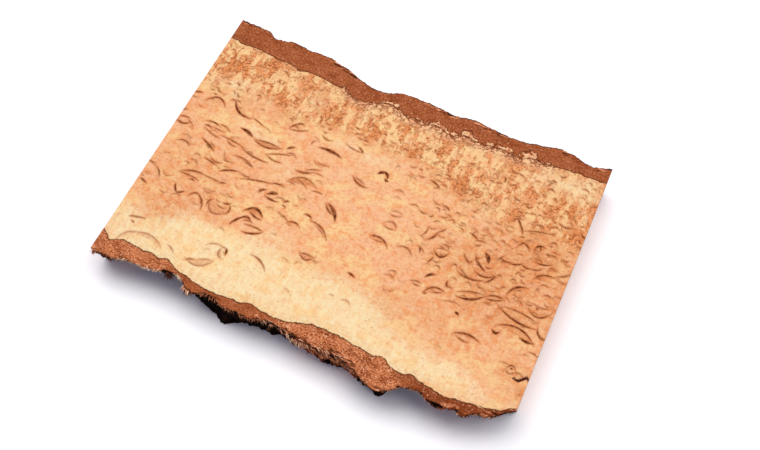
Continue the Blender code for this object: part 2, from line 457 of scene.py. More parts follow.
# %% The boldest flames, placed one by one
# Places are in millimetres on the drawing of the upper face, whose zero line lies DRAWING_SHIFT_MM off the
# middle of the plank. A flame runs from (x, y) to (x, y), and bends by so much to the far side. Then come its
# half thickness, its darkness, and how much brown fills the bay between the line and its chord.
DRAWING_SHIFT_MM = 6.37
FLAMES = (
    # far left
    (-139, 30.5, -123.5, 31, 5.2, 0.55, 0.6, 0.3), (-151, 33, -144.5, 35.3, 0.3, 0.6, 0.6, 0),
    (-118.8, 39, -101, 28.8, -3.8, 0.75, 0.65, 0.2), (-118.8, 38.6, -114.5, 38.4, 0.8, 0.45, 0.5, 0),
    (-100, 30, -90, 26.8, 0.3, 0.4, 0.55, 0), (-72, 33, -65, 39.5, 1.6, 0.5, 0.55, 0.3),
    (-71, 32.5, -59, 36.5, -0.8, 0.4, 0.5, 0.3), (-104, 19, -92.5, 15.3, 0.9, 0.95, 0.7, 0),
    (-98.5, 17.8, -93.5, 15.6, 0.2, 0.8, 0.9, 0), (-66, 16.5, -61, 20, 0.2, 0.7, 0.75, 0),
    (-64, 13, -58.5, 14.6, 0.5, 0.35, 0.5, 0), (-90.8, 14.2, -70, 14.6, -3.0, 0.5, 0.6, 0.9),
    (-90.8, 14.2, -70, 14.8, 0.9, 0.45, 0.55, 0.5), (-129.5, 14.6, -119, 14.2, 0.8, 0.55, 0.6, 0.2),
    (-119, 15.5, -109.5, 12.5, 1.2, 0.35, 0.5, 0.4), (-129, 11, -123, 10.2, 0.6, 0.5, 0.65, 0),
    (-122, 11.5, -113, 10.6, -0.3, 0.35, 0.45, 0), (-128, 9.2, -113, 4.6, -1.0, 0.4, 0.45, 0.3),
    (-114, 7.2, -94.5, 4.6, 0.8, 0.45, 0.5, 0.1), (-108, 6, -99.5, 3.2, -1.2, 0.4, 0.5, 0.4),
    (-95, 3.8, -73, 0.3, -1.3, 0.55, 0.55, 0), (-77, 6.3, -60, 12.6, 0.8, 0.4, 0.55, 0.3),
    (-77, 6.3, -64, 4.2, -1.4, 0.4, 0.5, 0.6), (-52.5, 3.2, -40.5, 6, -1.3, 0.65, 0.6, 0.3),
    (-46, 5.6, -36, 9.8, 0.7, 0.35, 0.45, 0), (-41, 6.2, -32, 6, 0.5, 0.3, 0.4, 0),
    (-41, 15.2, -32, 15.4, -0.6, 0.35, 0.45, 0), (-45.5, 27, -27.3, 25.2, 1.3, 0.95, 0.85, 0.5),
    (-52, 27, -50.5, 31, 0.2, 0.35, 0.5, 0), (-47.5, 37, -39.5, 35.6, -1.2, 0.4, 0.5, 0),
    (-29, 37.4, -15, 35.2, -0.9, 0.4, 0.45, 0), (-20, 38.8, -15, 35, 0.4, 0.6, 0.55, 0),
    (-151, 15.2, -147, 17.6, 0.4, 0.45, 0.5, 0), (-150, 9.6, -141, 10.6, 1.4, 0.45, 0.5, 0),
    (-150, 7.4, -139.5, 8.3, -2.4, 0.55, 0.55, 0.4), (-124.8, -0.2, -112.5, -6.4, 0.5, 0.6, 0.65, 0),
    (-120, -3.2, -115.5, -5.6, 0.2, 0.8, 0.5, 0), (-118, -1, -113, -4, 0.2, 0.6, 0.4, 0),
    (-140.5, -8.4, -130, -10, 2.2, 0.45, 0.55, 0), (-97.5, -3.8, -81, -7.2, 1.9, 0.45, 0.5, 0.8),
    (-88, -5.6, -81, -7.4, 0.6, 0.8, 0.45, 0), (-105, -4, -95, -10, -2.4, 0.35, 0.4, 0.1),
    (-53.8, -7.6, -33, -4, 5.6, 0.45, 0.5, 0.75), (-49, -3, -38.5, -7.6, 1.0, 0.35, 0.4, 0.2),
    (-34, -7.4, -26.5, -7.2, 0.5, 0.4, 0.5, 0), (-53.5, -7.4, -47, -8, 0.3, 0.4, 0.45, 0),
    # middle left
    (-100.3, -19.2, -88.5, -14.6, 0.8, 0.6, 0.65, 0), (-89.5, -14.6, -76, -17.2, 0.5, 0.35, 0.4, 0),
    (-84, -18.8, -62, -13.8, 0.6, 0.5, 0.5, 0), (-63, -13.4, -55, -12.6, 0.7, 0.45, 0.55, 0),
    (-115.5, -14, -104.5, -16.2, 0.2, 0.5, 0.55, 0), (-111.5, -12, -102, -13, -1.4, 0.45, 0.5, 0.5),
    (-103, -9.5, -96, -9.6, -0.8, 0.35, 0.45, 0), (-124, -15, -118, -15, 1.8, 0.5, 0.25, 0.3),
    (-19.8, -11.8, -9.4, -22.8, 1.7, 1.05, 0.95, 0.4), (-21, -12.8, -11, -19.2, -1.4, 0.5, 0.6, 0.7),
    (-67.3, -23.6, -63.3, -19.6, 1.0, 0.55, 0.7, 0), (-67.3, -20.4, -66.6, -23.2, -0.8, 0.4, 0.6, 0),
    (-62, -22.8, -54.5, -19.8, 0.6, 0.75, 0.7, 0.2), (-60.5, -20, -54.5, -19.2, 0.5, 0.45, 0.5, 0),
    (-62.5, -24, -52, -25.2, -0.8, 0.6, 0.6, 0.3), (-48, -23.5, -44.8, -21.4, 0.3, 0.6, 0.7, 0),
    (-48, -25.8, -44.8, -27.4, 0.4, 0.45, 0.55, 0), (-31, -26, -24.5, -27.6, 0.8, 0.5, 0.6, 0),
    (-25, -29, -9, -37.6, 2.6, 0.45, 0.55, 0.35), (-20, -30.8, -11.5, -36.5, 0.6, 0.35, 0.4, 0),
    (-48, -32.2, -37.5, -36.6, 0.6, 0.35, 0.45, 0), (-38.5, -36.4, -29.5, -36.6, 1.7, 0.45, 0.6, 0),
    (-125.5, -30.6, -108, -26.8, 2.0, 0.5, 0.55, 0.5), (-110, -26.8, -93, -28, 0.3, 0.4, 0.45, 0),
    (-96.5, -28.4, -91.5, -26.6, 0.3, 0.4, 0.55, 0), (-126, -31.4, -110, -32.4, 0.8, 0.45, 0.5, 0.1),
    (-116.5, -33.6, -112.5, -33.8, 0.4, 0.45, 0.6, 0), (-151, -31.6, -145, -33.4, 0.5, 0.4, 0.5, 0),
    (-143.5, -33.8, -136.5, -42, 1.4, 0.5, 0.45, 0.2), (-148, -46.8, -142, -49.2, 0.2, 0.7, 0.55, 0),
    (-123.5, -40.6, -119.3, -46.8, -0.6, 0.55, 0.6, 0.3), (-119.5, -46.6, -114.5, -44, -0.4, 0.55, 0.6, 0),
    (-110.5, -46, -103.5, -41.8, 1.8, 0.4, 0.55, 0.1), (-105.5, -42, -97.5, -51.6, 1.8, 0.5, 0.6, 0.35),
    (-103.5, -42.5, -99.6, -48.5, 0.5, 0.35, 0.45, 0), (-95.8, -41.5, -79.3, -47, -7.0, 0.4, 0.5, 0.5),
    (-95.5, -47, -93.6, -41.4, 1.0, 0.4, 0.6, 0), (-86, -41.2, -80.5, -39.8, -0.4, 0.6, 0.65, 0),
    (-80.4, -41, -80, -48.4, 1.2, 0.45, 0.55, 0), (-89, -43.5, -81.5, -44.5, -1.0, 0.35, 0.4, 0),
    (-70, -40.6, -55.8, -40.4, 4.4, 0.85, 0.85, 0.9), (-66, -39.5, -55.8, -42.6, -0.9, 0.6, 0.6, 0.2),
    (-74, -54, -67.6, -45.2, 0.8, 0.65, 0.75, 0), (-69.5, -46.5, -61.5, -46.4, 2.2, 0.6, 0.65, 0.8),
    (-66.5, -47.5, -60, -47, 1.0, 0.45, 0.5, 0), (-64.5, -49.8, -50.3, -50.2, 0.8, 0.45, 0.5, 0.3),
    (-63, -55.6, -50.2, -50.6, -1.3, 0.55, 0.65, 0.8), (-20.5, -54, -10.2, -53.8, 0.6, 0.5, 0.5, 0.2),
    (-20, -54.6, -10.2, -54.2, -3.0, 0.45, 0.55, 0.8),
    # near left
    (-139, -76.2, -128, -73.8, 0.3, 0.5, 0.5, 0), (-136, -78.8, -133.5, -79.4, 0.1, 0.4, 0.5, 0),
    (-137.8, -93.5, -127, -85, 2.2, 0.3, 0.35, 0.1), (-130, -86.2, -108, -88, 3.6, 0.35, 0.35, 0.1),
    (-104, -84.8, -97.5, -88.8, 0.5, 0.35, 0.35, 0), (-66.4, -71.4, -65.2, -76.2, 0.3, 0.7, 0.85, 0),
    (-71, -71.5, -66, -72.2, 0.4, 0.5, 0.3, 0), (-70, -73, -66.5, -79.6, -2.0, 0.5, 0.4, 0.9),
    (-80, -74, -70, -71, 1.4, 0.3, 0.3, 0), (-88.2, -90.2, -81.6, -87.2, 0.6, 0.5, 0.45, 0.2),
    (-88, -89, -70.4, -84, -4.2, 0.35, 0.4, 0.15), (-80, -86.6, -71, -83.6, 0.8, 0.35, 0.35, 0),
    (-49, -68.6, -35.8, -75.4, 1.8, 0.45, 0.5, 0.1),
    # middle
    (1.2, 24, 7, 26.8, 0.8, 0.85, 0.75, 0), (3.5, 27.2, 9.5, 22.4, 1.8, 0.8, 0.75, 0.8),
    (7.5, 22.2, 10.8, 20.8, -0.3, 0.7, 0.85, 0), (-13.2, 14.8, -1, 10.2, -1.7, 0.55, 0.65, 0.9),
    (-13.2, 14.8, -3, 11.4, 1.0, 0.4, 0.4, 0.6), (15, -54, 20.6, -55.6, 0.2, 0.6, 0.7, 0),
    (17.6, -22.4, 31, -26.4, 2.6, 0.5, 0.65, 0.2), (18.6, -21.2, 20.6, -22.4, 0, 0.9, 0.9, 0),
    (20.5, -24.6, 27, -23.8, -0.4, 0.35, 0.45, 0), (37.4, -22.4, 48.4, -25.4, 2.6, 0.4, 0.5, 0.1),
    (23, -8.4, 30.6, -10.4, 2.2, 0.4, 0.5, 0.3), (22, -11.6, 29.4, -12.4, -0.8, 0.35, 0.45, 0),
    (22, -1.6, 30.4, -0.8, -1.4, 0.35, 0.4, 0), (22.5, 0.6, 29.5, 1.2, 0.9, 0.35, 0.35, 0),
    (60.6, -15.4, 70.6, -14, -3.8, 0.55, 0.65, 0.3), (61.6, -13.4, 69.6, -12.4, 1.0, 0.35, 0.4, 0),
    (60, -25.4, 62.2, -20.4, -0.3, 0.45, 0.6, 0), (62.8, -36.2, 68.6, -31.8, 0.9, 0.8, 0.8, 0.6),
    (77.3, -32.8, 79, -37.4, -0.4, 0.6, 0.7, 0), (77.5, -37.2, 81, -36.4, 0.2, 0.4, 0.55, 0),
    (55, -42.4, 62.5, -41.6, 0.8, 0.4, 0.5, 0.2), (56.5, -43, 62.5, -43.8, -0.6, 0.35, 0.45, 0),
    (66, -46.6, 78.4, -41, 3.2, 0.5, 0.7, 0.3), (66, -46, 68.4, -46.8, -0.8, 0.5, 0.7, 0),
    (70, -44.8, 77.8, -41.8, -0.5, 0.35, 0.45, 0), (90.2, -51.2, 93.4, -52.6, 0.2, 0.75, 0.85, 0),
    (50.4, -1, 48.6, -8.4, 0.8, 0.4, 0.45, 0), (52.4, -10.6, 59.4, 1.6, -0.8, 0.4, 0.45, 0),
    (54, -9.4, 58, -2.6, -0.6, 0.55, 0.6, 0.3), (53.6, 19.6, 58.6, 17, 0.3, 0.5, 0.6, 0),
    (37.4, 34.4, 45.2, 31.4, 0.4, 0.5, 0.65, 0), (50, -16.4, 52.6, -21, 0.4, 0.5, 0.55, 0),
    (32, 10.6, 38.4, 10.2, 1.4, 0.35, 0.4, 0), (62, 3, 58.4, -1, 0.4, 0.4, 0.5, 0),
    # right
    (78, 6.8, 84.4, 4, 0.3, 0.5, 0.6, 0), (81, 9.4, 79, 6, 0.2, 0.35, 0.4, 0),
    (92.6, -2.8, 97.4, -10, 0.9, 1.2, 0.95, 0.5), (90, -10.4, 97.6, -16.4, -0.6, 0.55, 0.6, 0),
    (87.4, -7.4, 92.6, -14.6, -0.5, 0.45, 0.5, 0), (80, -9.6, 86.4, -15.4, -0.6, 0.45, 0.5, 0),
    (90.6, -18.4, 105, -17, -2.6, 0.5, 0.6, 0.4), (99.6, -24.2, 105.4, -16.6, -0.8, 0.5, 0.6, 0),
    (80.6, -23.4, 99.4, -23, -2.2, 0.55, 0.6, 0.4), (81.4, -20.6, 91, -25.6, -0.4, 0.4, 0.5, 0),
    (87, -40.6, 103.8, -33.4, -2.2, 0.7, 0.7, 0.5), (86, -37.6, 104, -32.6, 1.4, 0.4, 0.45, 0.2),
    (104.2, -34.4, 116.4, -30.8, -0.9, 0.45, 0.55, 0.6), (104.6, -33, 116, -30.4, 1.6, 0.5, 0.6, 0.6),
    (116.4, -25.6, 127.8, -16.2, 2.6, 0.6, 0.75, 0.1), (132.6, -29.4, 147.4, -27.8, -4.6, 0.5, 0.6, 0.3),
    (134.5, -25, 146.5, -24, -1.6, 0.4, 0.45, 0), (128.4, -8.2, 141.4, -2.2, 2.4, 0.5, 0.6, 0.2),
    (142, -0.4, 151, 6.6, -1.2, 0.45, 0.5, 0), (122, 11.6, 128.4, 16.6, 2.6, 0.55, 0.7, 0.3),
    (123.8, 17.4, 125.6, 12.4, 0.6, 0.45, 0.6, 0), (110.6, 10.6, 115.4, 15.2, 0.6, 0.45, 0.55, 0),
    (111.4, 14.6, 119.4, 10, 1.4, 0.5, 0.6, 0.2), (102.4, -5, 105, -0.4, 0.3, 0.45, 0.5, 0),
    (103, -2.2, 112, -2.6, -1.4, 0.5, 0.6, 0.1), (110, -4, 118.4, -0.4, -0.9, 0.5, 0.6, 0.1),
    (117.4, -0.6, 125, -2, -1.3, 0.45, 0.55, 0), (124, -2, 132, 1.6, -1.2, 0.45, 0.55, 0),
    (125, 4, 136.6, 6.6, -1.2, 0.5, 0.6, 0.2), (126, 6.6, 130, 5.4, 0.3, 0.4, 0.45, 0),
    (109.6, 22.6, 130.6, 28, 1.2, 0.4, 0.45, 0), (102.6, 30.8, 110.4, 20.4, 0.8, 0.55, 0.6, 0.2),
    (100, 27.4, 107, 31.2, 1.0, 0.45, 0.55, 0), (129.6, 38.4, 141.4, 39, -1.8, 0.45, 0.5, 0.1),
    (146, 37.6, 151.5, 33, -0.4, 0.5, 0.6, 0), (143, -40.2, 151, -46.6, -2.2, 0.6, 0.6, 0.4),
    (114.4, -35.6, 142.4, -41.6, -2.8, 0.6, 0.65, 0.4), (117.4, -35, 142, -37.4, 1.6, 0.45, 0.5, 0.2),
    (118.4, -48.8, 144, -51.8, 5.0, 0.55, 0.75, 0), (134.4, -51, 144.8, -51.4, -1.0, 0.75, 0.75, 0.3),
    (116.6, -52.8, 121.8, -52.8, -1.8, 0.75, 0.9, 0), (94.6, -65.6, 112.4, -64.8, 2.6, 0.6, 0.6, 0.9),
    (97, -66.4, 106, -68, -0.6, 0.45, 0.5, 0.3), (134, -74.2, 140.6, -73.6, 3.2, 0.4, 0.5, 0.2),
    (134, -74.4, 140.4, -74, -2.4, 0.35, 0.45, 0.4), (136.6, -72.6, 138.4, -73, 0, 0.6, 0.6, 0),
    (143.6, -58, 151, -60.4, 1.2, 0.4, 0.5, 0), (80, -47.4, 92, -46.2, 1.4, 0.3, 0.35, 0.1),
)
print(len(FLAMES), "flames placed by hand")

# %% [markdown]
# Between the bold flames lie many small faint ones. Nobody tells them apart, so they aren't placed one by
# one, but sown at random with a fixed seed: each zone says how many it holds, how long they are, and how
# dark. Most arch to the far side, as the placed ones do.

# %% Flames sown at random
# Each zone: the box it fills on the drawing (left, near, right, far), a count, the lengths, and the darkness
ZONES = (
    (40, -46, 149, 12, 80, (3.5, 8.0), (0.15, 0.4)),
    (20, 8, 149, 44, 80, (3.0, 7.0), (0.2, 0.45)),
    (60, -30, 149, 30, 50, (2.5, 5.0), (0.25, 0.5)),
    (-149, -50, -30, 34, 60, (3.0, 9.0), (0.12, 0.32)),
    (-149, 34, 149, 80, 170, (2.5, 6.5), (0.2, 0.5)),
    (-149, -84, 149, -52, 16, (3.0, 8.0), (0.12, 0.3)),
)
rng = np.random.default_rng(61)


def sown_flames(zone):
    """Random flames for one zone, in the same form as the placed ones."""
    left, near, right, far, count, lengths, darkness = zone
    x, y = rng.uniform(left, right, count), rng.uniform(near, far, count)
    length = rng.uniform(*lengths, count)
    slope = rng.normal(-0.12, 0.28, count)
    steep = rng.random(count) < ease(y, 40, 55) * 0.6  # behind, in the mottle, more of them stand steeply
    slope = np.where(steep, rng.normal(0, 2.5, count), slope)
    half = 0.5 * length / np.hypot(1, slope)
    bend = length * rng.choice([0.22, 0.3, 0.12, -0.16, -0.26], count)
    half_thickness = rng.uniform(0.3, 0.55, count)
    dark = rng.uniform(*darkness, count)
    fill = rng.choice([0.2, 0.5, 0.8], count)
    rise = half * slope
    return np.stack([x - half, y - rise, x + half, y + rise, bend, half_thickness, dark, fill], -1)


SOWN = np.concatenate([sown_flames(zone) for zone in ZONES])
UNDERSIDE = np.concatenate([sown_flames((-148, -82, 148, 74, 190, (5.0, 14.0), (0.3, 0.75)))])
print(len(SOWN), "flames sown on the upper face and", len(UNDERSIDE), "on the underside")

# %% [markdown]
# A flame is written into the vertices near it as a vector: distance across the line, half thickness there,
# and darkness. One vector for each vertex could do, but two flames that lie close would blur into each other
# between vertices. So the vectors are kept in several layers, and each flame goes into the layer where its
# surroundings are most free.

# %% Writing flames into the vertices
LAYERS = 4
SURROUND_MM = 1.5  # a flame claims this much around its line
BOLDNESS = 1.2  # how much thicker a flame is than its row says
DARKENING = 1.5  # how much darker
LEAST_STAIN = 0.45  # some brown fills the bay of every flame
EMPTY = (0.0, -9.0, 0.0)  # a half thickness far under 0, where there is no flame


def flame_fields(x, y, cell_mm, flames):
    """Layers of (distance, half thickness, darkness), and the soft brown fill, over a grid in millimetres.

    With u the share of the way along the chord and v the height over it, the line is v = 4 bend u (1 - u).
    The distance from it is the difference in v, divided by the line's steepness. The half thickness swells
    as 4 u (1 - u), which turns negative past the tips.
    """
    layers = np.tile(np.array(EMPTY), (LAYERS, *x.shape, 1))
    claimed = np.zeros((LAYERS, *x.shape), bool)
    fill = np.zeros(x.shape)
    row_x = x[:, 0]
    for x0, y0, x1, y1, bend, thick, dark, stain in flames:
        length = math.hypot(x1 - x0, y1 - y0)
        reach = abs(bend) + SURROUND_MM + 2 * cell_mm
        first = np.searchsorted(row_x, min(x0, x1) - reach)
        last = np.searchsorted(row_x, max(x0, x1) + reach)
        if last - first < 2:
            continue
        near_row = max(np.searchsorted(y[first], min(y0, y1) - reach) - 2, 0)
        far_row = np.searchsorted(y[last - 1], max(y0, y1) + reach) + 2
        window = (slice(first, last), slice(near_row, far_row))
        dx, dy = x[window] - x0, y[window] - y0
        cosine, sine = (x1 - x0) / length, (y1 - y0) / length
        u = (dx * cosine + dy * sine) / length
        v = dy * cosine - dx * sine
        swell = 4 * u * (1 - u)
        steepness = np.hypot(1, 4 * bend * (1 - 2 * u) / length)
        distance = (v - bend * swell) / steepness
        half = BOLDNESS * thick * swell
        inside = np.minimum(v * np.sign(bend), (bend * swell - v) * np.sign(bend)) / steepness
        bay = max(stain, LEAST_STAIN) * ease(inside, -0.5, 0.7) * (swell > 0)
        fill[window] = np.maximum(fill[window], bay)
        tips = SURROUND_MM / length
        claim = (np.abs(distance) < SURROUND_MM + thick) & (u > -tips) & (u < 1 + tips)
        wide = claim.copy()
        wide[1:] |= claim[:-1]
        wide[:-1] |= claim[1:]
        wide[:, 1:] |= claim[:, :-1]
        wide[:, :-1] |= claim[:, 1:]
        clashes = [np.count_nonzero(claimed[layer][window] & wide) for layer in range(LAYERS)]
        layer = int(np.argmin(clashes))
        mine = claim & ~claimed[layer][window]
        values = np.stack([distance, half, np.full(u.shape, min(DARKENING * dark, 1.0))], -1)
        layers[layer][window] = np.where(mine[..., None], values, layers[layer][window])
        claimed[layer][window] |= wide
    return layers, fill


# %% [markdown]
# ## The wood
# The wood is the body of the plank, sawn flat above and below. Its walls come from the tables. The seam to
# the bark could be a smooth line, but the real one wanders by half a millimetre, in teeth a few millimetres
# long, and wood and bark use the same wander so that they still meet. In the right near corner the saw tore
# out a crooked line of fibres. Paint alone would look flat there, so it is a real groove in the mesh, and the
# material also paints shade into it in dark red.

# %% Wood and seam
SEAM_WANDER_MM = 0.4
SEAM_HALF_GAP_MM = 0.05  # from the middle of the seam to the wood, and to the bark
SOLID_GAP_MM = 0.35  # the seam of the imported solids


def seam_at(x, z, side):
    """y of the middle of the seam: the wood's wall in the tables, half a gap further out, with its wander."""
    table = WOOD_FAR if side > 0 else WOOD_NEAR
    wander = rough(x / MM / 4.5, 7.0 * side, z / MM / 30, seed=20 + side, octaves=4, gain=0.6)
    return table_at(table, x, z) + side * MM * 0.5 * SOLID_GAP_MM + MM * SEAM_WANDER_MM * 2 * wander


def raggedness(draw_x, y):
    """How torn the seam is, from 0 to 1: most along the middle of the far edge."""
    far = (y > 0) * plateau(draw_x, -62, -46, 106, 118)
    return 0.12 + 0.75 * far


WOOD_CELLS = (268, 168, 8)
WOOD_WIDTH_MM = 186.0
WOOD_ARRIS_MM = 0.25
shares_x = steps_with_arris(LENGTH / MM, WOOD_CELLS[0], WOOD_ARRIS_MM)
shares_y = steps_with_arris(WOOD_WIDTH_MM, WOOD_CELLS[1], WOOD_ARRIS_MM)
shares_z = steps_with_arris(THICKNESS / MM, WOOD_CELLS[2], WOOD_ARRIS_MM)


def wood_place(u, v, w):
    """A corner of the wood from its three shares: along, across between the two seams, and up."""
    x = (u - 0.5) * LENGTH
    z = w * THICKNESS
    near = seam_at(x, z, -1) + MM * SEAM_HALF_GAP_MM
    far = seam_at(x, z, 1) - MM * SEAM_HALF_GAP_MM
    return x, near + (far - near) * v, z


TEAR_LINE_MM = ((140.5, -78.0), (144.0, -78.8), (146.2, -76.6), (148.2, -74.2), (150.5, -76.2))
TEAR_HALF_WIDTH_MM = 0.9
TEAR_DEEP_MM = 1.0

corner_ijk, wood_quads = block_skin(WOOD_CELLS)
u, v, w = (shares[index] for shares, index in zip((shares_x, shares_y, shares_z), corner_ijk.T))
wood_x, wood_y, wood_z = wood_place(u, v, w)
draw_x, draw_y = wood_x / MM, wood_y / MM - DRAWING_SHIFT_MM
to_seams = [np.abs(wood_y - seam_at(wood_x, wood_z, side)) for side in (-1, 1)]
wood_edge = np.minimum(*to_seams) / MM  # how far inside the seam a corner lies, in millimetres

# The corners where two sheets meet are drawn in a little, so that the edge is worn and not a knife
edges = [np.where(share == 0, 1.0, np.where(share == 1, -1.0, 0.0)) for share in (u, v, w)]
worn = (np.abs(edges[0]) + np.abs(edges[1]) + np.abs(edges[2]) >= 2) * 0.3 * WOOD_ARRIS_MM * MM
wood_x, wood_y, wood_z = (place + worn * edge for place, edge in zip((wood_x, wood_y, wood_z), edges))


def distance_to_line(x, y, knots):
    """The least distance from each place to a bent line, over the straight stretches between its knots."""
    least = np.full(np.shape(x), 1e3)
    for (ax, ay), (bx, by) in zip(knots[:-1], knots[1:]):
        dx, dy = bx - ax, by - ay
        share = np.clip(((x - ax) * dx + (y - ay) * dy) / (dx**2 + dy**2), 0, 1)
        least = np.minimum(least, np.hypot(x - ax - share * dx, y - ay - share * dy))
    return least


tear = distance_to_line(draw_x, draw_y, TEAR_LINE_MM) + 30.0 * (w != 1)  # only the upper face is torn
wood_z -= TEAR_DEEP_MM * MM * (1 - ease(tear, 0.3, 1.6))
wood_points = np.stack([wood_x, wood_y, wood_z], -1)
print(len(wood_points), "corners, tear", round(float(THICKNESS - wood_z[w == 1].min()) / MM, 2), "mm deep")

# %% [markdown]
# ## Tones of the face
# From the far edge to the near one the face changes character. Behind, it is mottled in orange-brown, in
# blotches drawn out across the plank. The middle is peach with curls, warmer and denser to the right. Near
# the viewer it is cream and almost plain; along the near edge, most on the left, it is paler still, partly in
# its own colour and partly as a painted highlight. One noise would make the whole face alike, so soft
# weights for these zones are kept at the vertices, and the material mixes its noises by them.


# %% Zone weights
def patches(x, y, spots):
    """The sum of soft oval patches. A spot is (x, y, half length, half width, strength), in millimetres."""
    total = np.zeros(np.shape(x))
    for spot_x, spot_y, half_x, half_y, strength in spots:
        total = total + strength * np.exp(-((x - spot_x) / half_x) ** 2 - ((y - spot_y) / half_y) ** 2)
    return total


CREAM_SPOTS = (
    (-80, -88, 46, 16, 1.0), (-40, -86, 64, 22, 0.9), (-62, -66, 26, 9, 0.7), (70, -98, 60, 12, 0.7),
    (10, -80, 50, 20, 0.5), (-84, -74, 34, 12, 0.5), (-128, 52, 22, 7, 0.7), (-62, 66, 8, 14, 0.8),
    (-92, 26, 26, 5, 0.5), (-30, 62, 9, 6, 0.7), (-32, 36, 30, 6, 0.4), (127, 70, 30, 12, 1.0),
    (12, 58, 5, 6, 0.5), (62, 60, 7, 10, 0.5), (100, 44, 14, 8, 0.4), (-110, -88, 20, 10, 0.3),
    (-142, -72, 8, 8, 0.4), (92, -90, 30, 8, 0.35), (118, -11, 9, 6, 0.4),
    (0, 34, 22, 7, 0.35), (75, 26, 12, 8, 0.3), (41, 42, 8, 7, 0.5), (42, 66, 7, 7, 0.5), (80, 60, 8, 8, 0.6),
    (82, 31, 7, 6, 0.5), (126, 41, 16, 5, 0.4), (-122, 42, 10, 6, 0.5), (-80, 68, 8, 8, 0.4),
    (-60, -4, 10, 8, 0.35), (-20, 10, 12, 12, 0.3), (-90, 20, 16, 6, 0.35), (-38, -50, 14, 4, 0.35),
)
PINK_SPOTS = ((20, -8, 40, 30, 0.9), (-10, 6, 30, 14, 0.5), (40, -42, 30, 14, 0.4), (-82, -38, 12, 8, 0.3))
TAN_SPOTS = (
    (118, -8, 46, 36, 1.0), (75, -20, 30, 22, 0.35), (-118, -28, 34, 20, 0.45), (-130, -58, 22, 24, 0.4),
    (-112, -60, 12, 16, 0.3), (-120, 2, 30, 12, 0.2), (70, -62, 46, 10, 0.35), (130, 22, 26, 16, 0.55),
    (-84, -51, 12, 5, 0.5), (-62, -4, 12, 6, 0.2), (140, -74, 10, 10, 0.3), (-104, 46, 26, 8, 0.35),
    (-70, 36, 8, 6, 0.5), (-140, 26, 14, 8, 0.3), (110, 58, 40, 10, 0.45), (122, -43, 32, 12, 0.7),
    (86, -74, 56, 12, 0.2), (136, -80, 14, 12, 0.2), (48, -62, 14, 8, 0.3), (-122, -67, 13, 12, 0.4),
    (2, -61, 10, 6, 0.4), (-40, -61, 9, 5, 0.4), (2, 50, 7, 6, 0.8), (21, 70, 8, 5, 0.7),
    (-118, 66, 9, 9, 0.6), (-100, 70, 8, 7, 0.7), (118, 61, 8, 6, 0.4),
)
CRUMBLY_SPOTS = ((148, -86, 4, 6, 0.8), (-148, -76, 3, 5, 0.6))


def zone_weights(x, y):
    """Weights (cream, pink, tan, mottle) at places on the drawing, with edges that wander with the wood."""
    wander_x = x + 7 * rough(x / 22, y / 22, 0.0, seed=31)
    wander_y = y + 9 * rough(x / 26, y / 18, 0.0, seed=32)
    # paler along the near edge, most on the left: partly the wood's own cream, partly a painted highlight
    near_edge_cream_and_sheen = (1 - ease(wander_y, -72, -50)) * (1 - 0.75 * ease(wander_x, 20, 60))
    cream = patches(wander_x, wander_y, CREAM_SPOTS) + 0.45 * near_edge_cream_and_sheen
    pink = patches(wander_x, wander_y, PINK_SPOTS)
    not_cream = 1 - 0.85 * np.clip(patches(x, y, CREAM_SPOTS), 0, 1)
    tan = patches(wander_x, wander_y, TAN_SPOTS) * not_cream
    far_edge = 36 - 22 * ease(x, 10, 70)
    mottle = ease(wander_y, far_edge, far_edge + 20) * not_cream
    mottle = mottle + patches(x, y, CRUMBLY_SPOTS)
    return np.stack([np.clip(value, 0, 1) for value in (cream, pink, tan, mottle)], -1)


# %% The figure of both sawn faces
grid_u, grid_v = np.meshgrid(shares_x, shares_y, indexing="ij")


def face_figure(level, flames, mirror):
    """The flame layers, the brown fill and the zone weights of one sawn face, over its grid of corners."""
    grid_x, grid_y, _ = wood_place(grid_u, grid_v, np.full(grid_u.shape, level))
    grid_x, grid_y = grid_x / MM, grid_y / MM - DRAWING_SHIFT_MM
    layers, fill = flame_fields(grid_x, grid_y, LENGTH / MM / WOOD_CELLS[0], flames)
    return layers, fill, zone_weights(grid_x, mirror * grid_y)


top_layers, top_fill, top_zones = face_figure(1.0, np.concatenate([FLAMES, SOWN]), 1)
low_layers, low_fill, low_zones = face_figure(0.0, UNDERSIDE, -1)
i, j, _ = corner_ijk.T
on_top, below = w == 1, w == 0
wood_fill = np.where(on_top, top_fill[i, j], 0.0) + np.where(below, low_fill[i, j], 0.0)
wood_zones = np.where(below[:, None], low_zones[i, j], top_zones[i, j])
wood_layers = np.tile(np.array(EMPTY), (LAYERS, len(wood_points), 1))
wood_layers[:, on_top] = top_layers[:, i[on_top], j[on_top]]
wood_layers[:, below] = low_layers[:, i[below], j[below]]
print("share of the upper face under brown fill:", round(float((top_fill > 0.2).mean()), 3))

# %% [markdown]
# ## The finish of the wood
# The sawn face is smooth and dull. A picture could be laid over it, but it would blur close by and say
# nothing of the wood. The material builds the face up in coats instead: it starts from peach and cream, and
# lays the mottle, the fine grain, the brown bays and the flames over them. A flame's colour is found in a
# small group: half thickness minus distance is positive inside the line, and a threshold on it, roughened by
# noise, gives an edge like ink on paper, with a faint halo where the brown has bled into the wood.

# %% The flame group
flame_group, (line, shaky), leave = new_group(
    "flame line", {"Line": "Vector", "Roughness": "Float"}, ("Mask", "Halo")
)
distance, half, darkness = line.parts()
depth = half - abs(distance) + shaky
join(leave, {"Mask": depth.soft(-0.25, 0.3) * darkness, "Halo": depth.soft(-1.6, 0.2) * darkness})

# %% [markdown]
# Wood and bark are both bundles of fibres that run along the trunk. A fibre is too thin to be modelled here,
# so one group draws them for both materials: a noise that is fine across the trunk and long along it.

